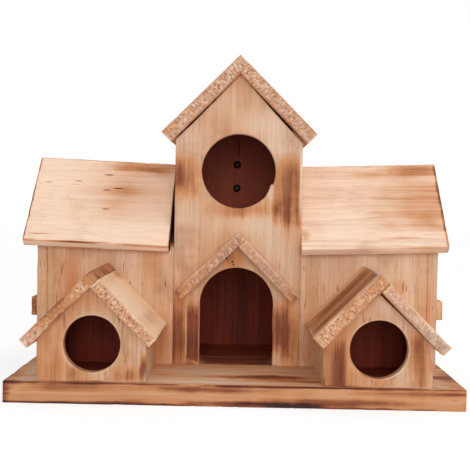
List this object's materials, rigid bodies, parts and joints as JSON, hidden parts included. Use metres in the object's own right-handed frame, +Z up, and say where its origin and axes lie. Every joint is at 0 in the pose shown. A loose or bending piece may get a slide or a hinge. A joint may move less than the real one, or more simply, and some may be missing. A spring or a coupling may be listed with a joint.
{
  "type": "wooden birdhouse in the form of a small dovecote",
  "caption": "Church-shaped birdhouse of scorched boards: gabled tower with round hole and hooded arch, ridge-roofed wings, and small gabled houses in front on a base board",
  "frame": {"origin": "middle of the base board's underside, where the house stands", "axes": "+X to the right seen from the front, +Y from the front to the back, +Z up"},
  "size_m": [0.336, 0.2107, 0.2591],
  "materials": {
    "base_board": "bare, lightly scorched",
    "wall_boards": "bare, lightly scorched",
    "tower_roof_boards": "bare, lightly scorched",
    "hood_slats": "bare, lightly scorched",
    "wing_roof_boards": "bare, lightly scorched",
    "ledges": "bare, lightly scorched",
    "house_boards": "bare, lightly scorched",
    "house_roof_boards": "bare, lightly scorched",
    "screws": "dark"
  },
  "bodies": {
    "root": {"base_board": "base_board", "tower_front_wall": "wall_boards", "tower_back_wall": "wall_boards", "tower_left_wall": "wall_boards", "tower_right_wall": "wall_boards", "tower_roof_left": "tower_roof_boards", "hood_left_slat": "hood_slats", "left_wing_front_wall": "wall_boards", "left_wing_back_wall": "wall_boards", "left_wing_end_wall": "wall_boards", "left_wing_roof_front": "wing_roof_boards", "left_wing_roof_back": "wing_roof_boards", "left_ledge": "ledges", "left_house_front_wall": "house_boards", "left_house_outer_wall": "house_boards", "left_house_inner_wall": "house_boards", "left_house_roof_outer": "house_roof_boards", "left_house_roof_inner": "house_roof_boards", "tower_roof_right": "tower_roof_boards", "hood_right_slat": "hood_slats", "right_wing_front_wall": "wall_boards", "right_wing_back_wall": "wall_boards", "right_wing_end_wall": "wall_boards", "right_wing_roof_front": "wing_roof_boards", "right_wing_roof_back": "wing_roof_boards", "right_ledge": "ledges", "right_house_front_wall": "house_boards", "right_house_outer_wall": "house_boards", "right_house_inner_wall": "house_boards", "right_house_roof_outer": "house_roof_boards", "right_house_roof_inner": "house_roof_boards", "upper_screw": "screws", "lower_screw": "screws"}
  },
  "joints": []
}
